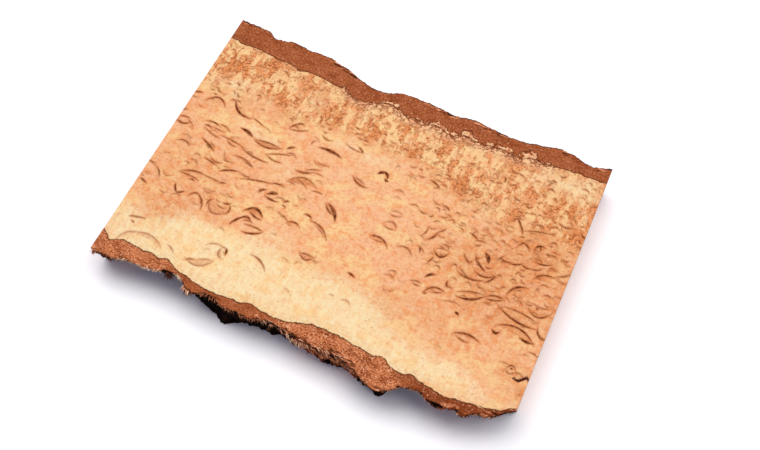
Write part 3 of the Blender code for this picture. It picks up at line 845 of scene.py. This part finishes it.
# %% The fibre group
fibre_group, (place, fineness, ratio), leave = new_group(
    "fibres", {"Place": "Vector", "Fibres in a metre": "Float", "Length ratio": "Float"}, ("Shade",)
)
scale = add(fibre_group, "CombineXYZ", {0: fineness.step("DIVIDE", ratio), 1: fineness, 2: fineness})
sockets = {0: place, 1: Value(scale.outputs[0])}
place = add(fibre_group, "VectorMath", sockets, operation="MULTIPLY")
sockets = {"Vector": Value(place.outputs[0]), "Scale": 1.0, "Detail": 4.0, "Roughness": 0.7}
join(leave, {"Shade": Value(add(fibre_group, "TexNoise", sockets).outputs[0])})

# %% [markdown]
# Wood and bark don't part along a clean line: teeth of one reach into the other, finer than any cell of the
# meshes. Both materials know how far they are from the seam, and ask the same group which side a place is
# on. It adds one noise to that distance, so the two pictures fit together, and draws a dark line where they
# meet.

# %% The seam group
seam_group, (place, past, ragged), leave = new_group(
    "seam", {"Place": "Vector", "Past seam mm": "Float", "Ragged": "Float"}, ("Bark", "Line")
)
teeth = noise_of(place, 3.4, (1.0, 1.2, 1.0), detail=5, roughness=0.66, shift=8.8)
past = past + (teeth - 0.5) * (ragged * 13.0 + 2.0)
join(leave, {"Bark": past.soft(-0.12, 0.12), "Line": abs(past).soft(0.62, 0.1)})
print("groups:", [group.name for group in bpy.data.node_groups])

# %% The wood's colours
CREAM = hue(255, 233, 178)
PEACH = hue(251, 188, 135)
PINK = hue(252, 194, 148)
TAN = hue(222, 141, 86)
PALE = hue(255, 216, 151)
LIGHT_CREAM = hue(255, 240, 196)
ORANGE = hue(248, 154, 88)
BLOTCH = hue(214, 121, 56)
DARK_BLOTCH = hue(138, 68, 22)
BAY_BROWN = hue(208, 120, 64)
LINE_BROWN = hue(96, 42, 8)
END_BROWN = hue(186, 114, 60)
# painted shade in the tear's groove
TEAR_GROOVE_SHADE = hue(84, 30, 12)
SEAM_DARK = hue(92, 44, 14)
BARK_SHOWING = hue(160, 84, 40)

# %% Wood material, part one: the ground colour
birch_wood, shader, here = new_material("birch_wood")
cream, pink, tan = told(here, "zones", "Vector").parts()
slow = noise_of(here, 10, (1.5, 1.0, 1.0), roughness=0.5)
cloud = noise_of(here, 5.0, (1.3, 1.0, 1.0), detail=5, roughness=0.62, shift=3.1)
speck = noise_of(here, 1.5, (1.3, 1.0, 1.0), detail=4, roughness=0.7, shift=7.7)
rays = noise_of(here, 2.4, (1.0, 3.0, 1.0), detail=5, roughness=0.75, shift=1.1)

creamy = cream + slow * 1.2 - 0.66
cream_part = creamy.soft(0.1, 0.7)
restless = cream * -0.7 + 1.0
calm = tan * -0.85 + 1.0
ground = coats(
    PEACH,
    (CREAM, creamy.soft(0.0, 0.85)),
    (PINK, pink * 0.6),
    (TAN, tan * cloud.soft(0.36, 0.6, 1.0, 0.3)),
    (PALE, calm * slow.soft(0.5, 0.38, 0.8)),
    (PINK, restless * slow.soft(0.51, 0.6, 0.5)),
    (ORANGE, restless * cloud.soft(0.5, 0.6, 0.55)),
    (PALE, speck.soft(0.49, 0.38, 0.3)),
    (BLOTCH, restless * speck.soft(0.52, 0.62, 0.45)),
    # faint streaks across the cream part, where rays of the wood lie open, and fine brown specks
    (LIGHT_CREAM, cream_part * rays.soft(0.46, 0.66, 0.5)),
    (ORANGE, cream_part * rays.soft(0.5, 0.36, 0.2)),
    (BLOTCH, cream_part * speck.soft(0.58, 0.68, 0.45)),
)

# %% Wood material, part two: the mottle behind
mottle = told(here, "mottle")
wide = noise_of(here, 10.0, (0.75, 2.0, 1.0), detail=5, roughness=0.6, shift=1.7)
fine = noise_of(here, 3.6, (0.9, 1.15, 1.0), detail=4, roughness=0.62, shift=5.3)
crumb = noise_of(here, 1.5, (1.1, 1.1, 1.0), roughness=0.65, shift=2.9)
curls = noise_of(here, 6.5, (1.2, 0.9, 1.0), roughness=0.5, shift=4.7)
both = fine * 0.42 + wide * 0.58
curly = mottle.step("MAXIMUM", tan * 0.7)
ground = coats(
    ground,
    (PALE, mottle * wide.soft(0.42, 0.6, 0.2, 0.85) * (tan * -0.5 + 1.0)),
    (PEACH, mottle * cloud.soft(0.5, 0.58, 0.6)),
    (ORANGE, mottle * both.soft(0.45, 0.53, 0.75)),
    (BLOTCH, mottle * both.soft(0.51, 0.58, 0.62)),
    # an outline round the blotches and spots inside them, broken up by crumbs
    (DARK_BLOTCH, mottle * (abs(both - 0.495).soft(0.015, 0.004) * crumb.soft(0.42, 0.52, 0.8))),
    (DARK_BLOTCH, mottle * both.soft(0.48, 0.54) * crumb.soft(0.51, 0.6, 0.85)),
    # small curls: where a noise passes its middle it draws thin closed lines
    (DARK_BLOTCH, curly * abs(curls - 0.5).soft(0.02, 0.004, 0.75) * crumb.soft(0.46, 0.54)),
)

# %% Wood material, part three: grain, bays, flames and seam
(grain,) = ask(fibre_group, here, 1000 / 0.5, 9.0)
saw_marks = noise_of(here, 2.6, (1.0, 18.0, 1.0), detail=4, roughness=0.65, shift=9.1)
dark_parts = noise_of(here, 3.0, roughness=0.6, shift=3.9)
squiggles = noise_of(here, 3.4, (1.3, 0.8, 1.0), shift=6.3)
shaky = noise_of(here, 1.1, shift=2.2) * 0.9 - 0.45

flames = [ask(flame_group, told(here, f"flame_{layer}", "Vector"), shaky) for layer in range(LAYERS)]
ink, bleed = flames[0]
for mask, halo in flames[1:]:
    ink = ink.step("MAXIMUM", mask)
    bleed = bleed.step("MAXIMUM", halo)
ink = ink * dark_parts.soft(0.4, 0.58, 1.0, 0.62)

past, ragged = told(here, "edge"), told(here, "ragged")
bark_side, seam_line = ask(seam_group, here, past, ragged)
beside_seam = ragged * past.soft(-9.0, -2.0)
ground = coats(
    ground,
    (BLOTCH, grain.soft(0.4, 0.75, 0.16)),
    (PALE, saw_marks.soft(0.52, 0.64, 0.22)),
    (PEACH, saw_marks.soft(0.45, 0.36, 0.14)),
    (BAY_BROWN, told(here, "bay") * speck.soft(0.35, 0.6, 1.0, 0.5)),
    (BAY_BROWN, bleed * 0.8),
    (LINE_BROWN, ink),
    (PINK, beside_seam * 0.6),
    (DARK_BLOTCH, beside_seam * abs(squiggles - 0.5).soft(0.075, 0.03)),
    (BARK_SHOWING, bark_side),
    (SEAM_DARK, seam_line * 0.85),
)

# %% [markdown]
# The ends show the growth rings. Blender's wave texture draws rings too, but only round the middle of its
# own space. The plank was cut beside the heart of the trunk, so the rings are arcs about a line that lies
# above the upper face. The distance from that line, bent a little by noise, drives a wave.

# %% Wood material, part four: rings, the tear's painted shade, and surface
PITH_HEIGHT_MM = 46.0
RING_MM = 2.4
_, across, up = here.parts()
up = up - PITH_HEIGHT_MM * MM
radius = (up * up + across * across).step("SQRT") + noise_of(here, 12, detail=2, shift=4.4) * 0.004
ring = (radius * (2 * math.pi / (RING_MM * MM))).step("SINE").soft(0.2, 1.0)
pores = noise_of(here, 0.5, detail=2, shift=6.6)
end = told(here, "end")
groove_shade_reach = told(here, "tear") + shaky * 1.4
ground = coats(
    ground,
    (END_BROWN, end * (ring * 0.45 + 0.25)),
    (DARK_BLOTCH, end * pores.soft(0.55, 0.7, 0.5)),
    # the tear is painted dark red: painted shade in its groove
    (TEAR_GROOVE_SHADE, groove_shade_reach.soft(TEAR_HALF_WIDTH_MM + 0.4, TEAR_HALF_WIDTH_MM - 0.3)),
)
look = {"Base Color": ground, "Roughness": grain * 0.2 + ink * 0.15 + 0.42, "Specular IOR Level": 0.08}
join(shader, look | {"Normal": bump(grain - ink * 0.6 + speck * 0.3, 0.35, 0.00012)})
print("wood material:", len(here.tree.nodes), "nodes")

# %% The wood piece
wood = new_piece("plank_wood", wood_points, wood_quads, birch_wood)
wood_values = {
    "zones": wood_zones[:, :3],
    "mottle": wood_zones[:, 3],
    "bay": wood_fill,
    "end": ((u == 0) | (u == 1)).astype(float),
    "tear": tear,
    "edge": -wood_edge,
    "ragged": raggedness(draw_x, wood_y),
}
paint(wood, wood_values | {f"flame_{layer}": values for layer, values in enumerate(wood_layers)})
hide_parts("wood")
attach(wood, "root")

# %% [markdown]
# ## The bark
# Each strip of bark is a block too, between the seam and the outside. A bump in the material could roughen
# it, but its outline against the floor would stay smooth. So its outer wall comes from the tables and gets
# the relief of old birch bark in the mesh: long plates with ragged edges, split by dark cracks along the
# trunk, and crumbs on top of them. Near the sawn face the relief is calmer, because the rim's own line is
# already in the tables.

# %% Relief of the outside
BARK_CELLS = (560, 22, 42)
BARK_WIDTH_MM = 12.0
LEAST_BARK_MM = 0.8
BARK_ARRIS_MM = 0.3


def bark_relief(x, z, side):
    """How far the outside stands out of its table, in millimetres: plates, cracks between them, crumbs."""
    x, z = x / MM, z / MM
    bend = 1.5 * rough(x / 9, z / 6, 0.0, seed=50 + side, octaves=3)
    plates = 0.55 - 2.2 * np.abs(rough(x / 13, z / 4.2 + bend, 0.0, seed=54 + side, octaves=3))
    crumbs = rough(x / 1.9, z / 1.3, 0.0, seed=58 + side, octaves=3, gain=0.7)
    cracks = ease(np.abs(rough(x / 16, z / 3.4 + bend, 2.0, seed=62 + side, octaves=2)), 0.0, 0.09) - 1
    calm = 1 - 0.8 * ease(z, 17, 24.5)
    return calm * (1.3 * plates + 1.5 * cracks) + (0.5 + 0.5 * calm) * crumbs


# %% [markdown]
# On the sawn face of the bark a few things change from place to place: how light it is, where pale tufts of
# wood fibre lie over it, and where it is charred dark. Outside, it is black in some places and brown in
# layers in others. They are soft patches again, worked out at the vertices.

# %% Places on the bark
# A tuft: the place of its middle on the drawing, half its length and half its width
TUFTS = (
    (-12, 82.5, 4.2, 1.9), (23.5, 79, 5, 2.8), (29, 77.5, 3.4, 2.2), (46, 80, 4.2, 3.9), (52, 77.6, 3.2, 2.4),
    (64, 79.6, 3.2, 1.4), (73, 78, 5.0, 3.4), (93.6, 82, 4.8, 3.9), (88.5, 79.6, 3.0, 1.8), (104, 79, 3.4, 2),
    (-17.5, 81.8, 3.4, 1.9), (36, 75.6, 4.6, 2.2), (78, 79.4, 3.0, 2.0), (10, 78.2, 3.6, 1.2),
    (-109, 84, 2.4, 0.6), (-92, 82.6, 3.0, 0.7), (128, -104.6, 3.2, 0.5), (96, -110.6, 2.4, 0.5),
    (20, -107.4, 3.0, 0.4),
)
# A charred patch: its middle, half its length, half its width and how dark it is
DARK_PATCHES = (
    (-94, -102.8, 5.0, 1.5, 1.0), (-58, -106.2, 14, 1.4, 0.5), (-12, -107.4, 9, 1.2, 0.5),
    (112, -110, 30, 4, 0.35), (147, 94.4, 4.5, 1.3, 1.0), (-148, 92, 3, 3, 0.4), (66, -119, 8, 1.2, 0.6),
    (100, -114, 9, 1.4, 0.6), (-140, -109, 9, 1.6, 0.6), (28, -110.4, 14, 0.8, 0.4),
    (79, -113.2, 4, 1.3, 0.9), (104, -115, 6, 1.4, 1.0), (140, -104.5, 8, 1.2, 0.7), (118, -113.8, 4, 1, 0.6),
)


def tone_of(draw_x, side):
    """How light the sawn bark is along the plank: from -1, deep red-brown, over 0 to 1, light and orange."""
    if side > 0:
        return 0.12 * rough(draw_x / 40, 0.0, 0.0, seed=66)
    left = 0.66 * (1 - ease(draw_x, -104, -82))
    middle = 1.3 * plateau(draw_x, -24, 4, 66, 84)
    right = -0.75 * ease(draw_x, 74, 92)
    return left + middle + right + 0.1


def layering(draw_x, z, side):
    """How far brown layers show outside instead of black: mostly on the near side, right of the middle."""
    height = z / THICKNESS
    torn_off = 1.6 * rough(draw_x / 13, 4 * height, 6.0, seed=90 + side, octaves=3)
    if side > 0:
        return 0.1 + torn_off
    slope = (0.5 * ease(draw_x, -24, -14) + 0.5 * ease(draw_x, -6, 8)) * (1 - ease(draw_x, 40, 60))
    left = 0.7 * (1 - ease(draw_x, -140, -122))
    right = 0.45 * ease(draw_x, 84, 104)
    drops = plateau(draw_x, -96, -88, -34, -24) + plateau(draw_x, 48, 58, 78, 90)
    return slope + left + right - 0.8 * drops + 0.3 * (height - 0.6) + 0.7 * torn_off


def tuft_height(x, y):
    """1 in the middle of a tuft and 0 at its torn outline: the greatest of 1 - r^2 over the oval tufts."""
    x = x + 2.4 * rough(x / 1.7, y / 1.7, 0.0, seed=81)
    y = y + 2.0 * rough(x / 1.7, y / 1.7, 5.0, seed=82)
    height = np.full(np.shape(x), -9.0)
    for at_x, at_y, half_x, half_y in TUFTS:
        height = np.maximum(height, 1 - ((x - at_x) / half_x) ** 2 - ((y - at_y) / half_y) ** 2)
    return height


# %% Shape of the bark
def bark_shape(side):
    """Points, quads and the values that the material reads, for the strip on one side of the plank."""
    ijk, quads = block_skin(BARK_CELLS)
    widths = (LENGTH / MM, BARK_WIDTH_MM, THICKNESS / MM)
    shares = [steps_with_arris(width, cells, BARK_ARRIS_MM) for width, cells in zip(widths, BARK_CELLS)]
    u, v, w = (share[index] for share, index in zip(shares, ijk.T))
    x, z = (u - 0.5) * LENGTH, w * THICKNESS
    seam = seam_at(x, z, side) + side * SEAM_HALF_GAP_MM * MM
    table = BARK_FAR_OUT if side > 0 else BARK_NEAR_OUT
    relief = bark_relief(x, z, side)
    out = table_at(table, x, z) + side * MM * relief
    out = side * np.maximum(side * out, side * seam + LEAST_BARK_MM * MM)
    outward = 1 - v if side < 0 else v
    y = seam + (out - seam) * outward
    draw_x, draw_y = x / MM, y / MM - DRAWING_SHIFT_MM
    rim = np.abs(out - y) / MM
    flat = np.where(w == 1, 1.0, np.where(w == 0, -1.0, 0.0))
    crumble = ease(rim, 1.4, 0.0) * ease(rough(draw_x / 2.6, 3.0 * side, 0.0, seed=70), -0.1, 0.4)
    fuzz = 0.16 * rough(draw_x / 1.1, draw_y / 0.8, 0.0, seed=74, octaves=3, gain=0.7)
    tuft = np.where(w == 1, tuft_height(draw_x, draw_y), -9.0)
    raised = 0.34 * ease(tuft, -0.2, 0.5) * (1 + rough(draw_x / 1.6, draw_y / 1.6, 0.0, seed=84))
    dent = 0.8 * crumble + np.where(flat < 0, np.abs(fuzz), fuzz) * (outward < 1)
    z = z + MM * (raised - flat * dent)
    values = {
        "depth": np.abs(y - seam) / MM,
        "rim": rim,
        "skin": np.where(outward == 1, 1.0, 0.0),
        "relief": relief,
        "tone": tone_of(draw_x, side),
        "layers": layering(draw_x, z, side),
        "tuft": tuft,
        "char": patches(draw_x, draw_y, DARK_PATCHES) * (w == 1),
        "ragged": raggedness(draw_x, y),
    }
    return np.stack([x, y, z], -1), quads, values


# %% [markdown]
# ## The finish of the bark
# The saw laid the inner bark open: it is red-brown and granular, like coarse sawdust pressed together, with
# a dark line at the seam and pale specks. The outside is almost black, and only the ridges of its plates are
# a little lighter: partly their own weathered colour, partly painted light that brings out the relief. Two
# materials could meet at the rim, but the rim is ragged, so one material holds both. The mesh tells it how
# deep a point lies from the seam, how near it is to the rim, and whether it is outside.

# %% What the bark's vertices tell, and its colours
BARK_VALUES = ("depth", "rim", "skin", "relief", "tone", "layers", "tuft", "char", "ragged")
RUST = hue(164, 85, 45)
RUST_LIGHT = hue(220, 136, 88)
RUST_DEEP = hue(122, 46, 10)
GRAIN_LIGHT = hue(236, 154, 104)
# dark grains of the bark, and also the painted shadow round the tufts
GRAIN_AND_SHADOW_DARK = hue(98, 38, 8)
SPECK = hue(248, 190, 150)
TUFT_PINK = hue(228, 146, 98)
TUFT_PALE = hue(255, 204, 154)
BAST_PALE = hue(252, 222, 186)
SKIN_BLACK = hue(10, 3, 2)
SKIN_BROWN = hue(92, 50, 30)
LAYER_BROWN = hue(128, 62, 34)
LAYER_PALE = hue(250, 184, 144)

# %% Bark material, part one: the sawn face
birch_bark, shader, here = new_material("birch_bark")
depth, rim, skin, relief, tone, layers, tuft, char, ragged = [told(here, name) for name in BARK_VALUES]
(fibres,) = ask(fibre_group, here, 1000 / 0.9, 2.6)
cloud = noise_of(here, 6.0, (1.6, 1.0, 1.0), detail=5, roughness=0.65)
grit = noise_of(here, 1.1, (1.25, 1.0, 1.0), detail=4, roughness=0.75, shift=3.3)
spots = noise_of(here, 1.7, (1.1, 1.0, 1.0), detail=2, roughness=0.6, shift=6.1)

lively = tone.soft(0.2, 0.9, 0.9, 0.42)
coarse = cloud * 0.2 + grit * 0.8
charred = char - 0.8 + grit * 1.6
rim_wave = rim + 2.9 - grit * 2.4 - spots * 3.4 + tone * 0.6
inner = coats(
    RUST,
    (RUST_LIGHT, tone.soft(0.0, 1.0)),
    (RUST_DEEP, tone.soft(0.0, -0.6)),
    (RUST_DEEP, cloud.soft(0.49, 0.38, 0.5)),
    (RUST_LIGHT, fibres.soft(0.52, 0.66, 0.34)),
    (RUST, lively * coarse.soft(0.54, 0.45)),
    (GRAIN_LIGHT, lively * coarse.soft(0.5, 0.58)),
    (GRAIN_AND_SHADOW_DARK, lively * coarse.soft(0.46, 0.4, 0.85)),
    (SPECK, lively * spots.soft(0.62, 0.68)),
    (SKIN_BLACK, charred.soft(0.3, 0.75)),
    (SKIN_BLACK, rim_wave.soft(0.65, 0.1, 0.9)),
)

# %% Bark material, part two: the seam, the tufts of wood over it, and painted shadow round them
bark_side, seam_line = ask(seam_group, here, depth, ragged)
woolly = grit * 0.5 + noise_of(here, 2.4, roughness=0.6, shift=5.9) * 0.5
torn = coats(RUST, (TUFT_PINK, woolly.soft(0.45, 0.49)), (TUFT_PALE, woolly.soft(0.49, 0.54)))
tufted = tuft - 1.0 + grit * 2.0
inner = coats(
    torn,
    (inner, bark_side),
    (SEAM_DARK, seam_line * 0.85),
    # a dark band round each tuft's outline: painted shadow under the raised tuft
    (GRAIN_AND_SHADOW_DARK, tufted.soft(-0.75, -0.1, 0.85)),
    (torn, tufted.soft(-0.05, 0.2)),
)

# %% Bark material, part three: the outside
(strands,) = ask(fibre_group, here, 1000 / 1.6, 5.0)
mixed = grit * 0.25 + strands * 0.75
# lighter brown on the ridges of the plates: partly weathered bark, partly painted light that shows the relief
black = coats(SKIN_BLACK, (SKIN_BROWN, relief.soft(0.2, 1.8, 0.7)), (LAYER_BROWN, grit.soft(0.62, 0.72, 0.5)))
layered = coats(
    SKIN_BLACK,
    (RUST_DEEP, mixed.soft(0.45, 0.49)),
    (RUST_LIGHT, mixed.soft(0.49, 0.54)),
    (LAYER_PALE, mixed.soft(0.56, 0.59)),
)
in_layers = (layers - 0.6 + grit * 1.2).soft(0.4, 0.6)
frayed = (rim + 4.0 - cloud * 8.0).soft(3.6, 2.6, 0.85) * in_layers
colour = coats(inner, (layered, frayed), (coats(black, (layered, in_layers)), skin))
join(shader, {"Base Color": colour, "Roughness": 0.92, "Specular IOR Level": 0.05})
join(shader, {"Normal": bump(grit + fibres * 0.6, 0.8, 0.0006)})
print("bark material:", len(here.tree.nodes), "nodes")

# %% The two strips of bark
for node, side in (("bark_near", -1), ("bark_far", 1)):
    points, quads, values = bark_shape(side)
    bark = new_piece("plank_" + node, points, quads, birch_bark, sharp_degrees=60)
    paint(bark, values)
    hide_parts(node)
    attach(bark, "root")

# %% [markdown]
# ## Torn fibres
# The saw tears bark more than it cuts it, so splinters and strings of bast stand out of the rim. Blender's
# hair could make them, but a tube is a mesh like the rest. Each is a thin three-sided tube along a bent
# path. All of them are worked out at once: a path is its root, plus the way along its direction, plus a curl
# that grows with the square of that way. The tube narrows to its tip.

# %% Where fibres stand
# From x to x on the drawing, then from height to height in millimetres, a count, lengths, a direction (along,
# outward, up), how much it scatters, half a thickness, and a shade from 0, pale, to 1, black
FRINGE = (
    (-134, -99, 23.2, 24.6, 300, (0.8, 2.0), (0.5, 1.0, -0.3), 0.6, 0.38, 0.0),
    (-118, -99, 22.8, 24.6, 90, (1.2, 2.6), (0.9, 0.8, -0.2), 0.4, 0.45, -0.05),
    (-149, -131, 20.0, 24.0, 170, (1.0, 2.6), (0.5, 1.0, -0.3), 0.6, 0.25, 0.72),
    (-149.5, -147, 20.0, 24.0, 30, (2.0, 4.0), (0.1, 1.0, -0.4), 0.4, 0.3, 0.5),
    (-98, -88, 18.0, 24.0, 120, (1.0, 3.0), (0.2, 1.0, -0.5), 0.5, 0.3, 0.85),
    (-95, -91.5, 22.0, 24.4, 60, (3.5, 6.0), (0.1, 1.0, -0.3), 0.2, 0.35, 0.8),
    (-90.5, -87, 23.4, 24.6, 40, (4.0, 7.0), (1.0, 0.3, -0.05), 0.06, 0.6, -0.1),
    (-80, -75, 21.0, 24.6, 44, (2.0, 5.0), (0.15, 1.0, -0.4), 0.35, 0.5, 0.1),
    (-79, -74, 21.0, 24.6, 60, (2.5, 6.0), (0.2, 1.0, -0.6), 0.3, 0.3, 0.75),
    (-74, -24, 21.0, 24.8, 260, (0.8, 2.6), (0.4, 1.0, -0.2), 0.7, 0.28, 0.4),
    (-24, -2, 19.0, 24.8, 110, (1.5, 4.5), (1.0, 0.6, 0.2), 0.5, 0.22, 0.15),
    (-3, 10, 8.0, 23.0, 150, (1.5, 3.8), (0.6, 1.0, 0.0), 0.5, 0.25, 0.0),
    (4, 52, 14.0, 24.9, 170, (2.5, 8.0), (1.0, 0.3, 0.15), 0.25, 0.25, 0.2),
    (8, 54, 3.0, 24.0, 150, (1.0, 3.0), (0.8, 0.8, -0.2), 0.6, 0.3, 0.7),
    (52, 70, 19.0, 24.6, 150, (0.8, 2.2), (0.6, 1.0, -0.3), 0.6, 0.25, 0.8),
    (68, 98, 22.0, 24.8, 220, (0.8, 2.2), (0.7, 1.0, 0.0), 0.6, 0.22, 0.25),
    (94, 112, 21.0, 24.8, 160, (0.8, 2.6), (0.5, 1.0, -0.2), 0.7, 0.28, 0.55),
    (112, 150, 21.0, 24.8, 260, (0.8, 2.4), (0.5, 1.0, -0.2), 0.7, 0.22, 0.6),
    (116, 142, 22.5, 24.8, 60, (1.0, 2.2), (0.5, 1.0, 0.0), 0.7, 0.22, 0.1),
)
FAR_FRINGE = (
    (-149, 150, 22.0, 24.8, 420, (0.6, 1.7), (0.6, 1.0, 0.1), 0.8, 0.2, 0.6),
    (60, 150, 21.0, 24.6, 120, (0.8, 1.8), (0.8, 1.0, 0.1), 0.8, 0.2, 0.35),
)
FIBRE_RINGS = 5
FIBRE_SIDES = 3
FIBRES_FROM_MM = 0.2  # no fibre hangs lower than this over the floor
FIBRES_OVER_MM = 0.5  # or rises more than this over the sawn face
fibre_rng = np.random.default_rng(127)


# %% Fibre tubes
def fibre_rows(rows, side):
    """One row of numbers for each fibre: root, direction, curl, length, half thickness and shade."""
    table = BARK_FAR_OUT if side > 0 else BARK_NEAR_OUT
    parts = []
    for x0, x1, z0, z1, count, lengths, direction, scatter, half, shade in rows:
        x = fibre_rng.uniform(x0, x1, count) * MM
        z = fibre_rng.uniform(z0, z1, count) * MM
        y = table_at(table, x, z) + side * MM * (bark_relief(x, z, side) - 0.5)
        way = np.tile(direction, (count, 1)) + fibre_rng.normal(0, scatter, (count, 3))
        way[:, 1] = side * np.abs(way[:, 1])
        way /= np.linalg.norm(way, axis=1, keepdims=True)
        curl = fibre_rng.normal(0, 0.35, (count, 3))
        length = fibre_rng.uniform(*lengths, count)
        thick = half * fibre_rng.uniform(0.6, 1.3, count)
        tone = np.clip(shade + fibre_rng.normal(0, 0.12, count), 0, 1)
        parts.append(np.column_stack([x, y, z, way, curl, length, thick, tone]))
    return np.concatenate(parts)


def fibre_tubes(rows):
    """Points, quads and shades of all fibres: rings of three points along root + way t L + curl L t^2."""
    root, way, curl = rows[:, 0:3], rows[:, 3:6], rows[:, 6:9]
    length, thick, tone = rows[:, 9] * MM, rows[:, 10] * MM, rows[:, 11]
    share = np.linspace(0, 1, FIBRE_RINGS)
    t = share[:, None]
    reach = length[:, None, None]
    path = root[:, None] + way[:, None] * t * reach + curl[:, None] * reach * t**2 * 0.6
    first = np.cross(way, (0.31, 0.17, 0.93))
    first /= np.linalg.norm(first, axis=1, keepdims=True)
    second = np.cross(way, first)
    turn = 2 * math.pi * np.arange(FIBRE_SIDES) / FIBRE_SIDES
    circle = np.cos(turn)[:, None] * first[:, None] + np.sin(turn)[:, None] * second[:, None]
    taper = thick[:, None] * (1.02 - share**2)
    points = path[:, :, None] + taper[:, :, None, None] * circle[:, None]
    points[..., 2] = np.clip(points[..., 2], FIBRES_FROM_MM * MM, THICKNESS + FIBRES_OVER_MM * MM)
    points[..., 0] = np.clip(points[..., 0], -LENGTH / 2, LENGTH / 2)
    count = len(rows)
    k, r, c = np.meshgrid(np.arange(count), np.arange(FIBRE_RINGS - 1), np.arange(FIBRE_SIDES), indexing="ij")
    after = (c + 1) % FIBRE_SIDES
    base = (k * FIBRE_RINGS + r) * FIBRE_SIDES
    quads = np.stack([base + c, base + after, base + FIBRE_SIDES + after, base + FIBRE_SIDES + c], -1)
    shades = np.repeat(tone, FIBRE_RINGS * FIBRE_SIDES)
    ends = np.array([[0, 2, 1], [0, 1, 2]]) + np.array([[0], [(FIBRE_RINGS - 1) * FIBRE_SIDES]])
    caps = (np.arange(count) * FIBRE_RINGS * FIBRE_SIDES)[:, None, None] + ends[None]
    return points.reshape(-1, 3), quads.reshape(-1, 4), caps.reshape(-1, 3), shades


# %% Fibre material
birch_bast, shader, here = new_material("birch_bast")
shade = told(here, "shade") - 0.25 + noise_of(here, 0.7, detail=2, roughness=0.6) * 0.5
colour = coats(
    LAYER_PALE,
    (GRAIN_LIGHT, shade.soft(0.0, 0.3)),
    (BAST_PALE, shade.soft(0.14, 0.0)),
    (LAYER_BROWN, shade.soft(0.3, 0.6)),
    (SKIN_BLACK, shade.soft(0.6, 0.9)),
)
join(shader, {"Base Color": colour, "Roughness": 0.8, "Specular IOR Level": 0.2})
print("fibre material:", len(here.tree.nodes), "nodes")

# %% The two fringes
for name, rows, side in (("plank_fringe_near", FRINGE, -1), ("plank_fringe_far", FAR_FRINGE, 1)):
    points, quads, caps, shades = fibre_tubes(fibre_rows(rows, side))
    fringe = new_piece(name, points, quads, birch_bast, caps=caps)
    paint(fringe, {"shade": shades})
    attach(fringe, "root")

# %% [markdown]
# ## Size, and the end
# The boxes of the solids and of the finer pieces are printed side by side. The finer pieces may not
# grow past the solids they stand for.

# %% Sizes of the two models
import json

boxes = {"cad": [list(corner) for corner in CAD_BOX], "visual": [list(corner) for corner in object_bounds()]}
for name, box in boxes.items():
    print(name, [[round(value / MM, 2) for value in corner] for corner in box])
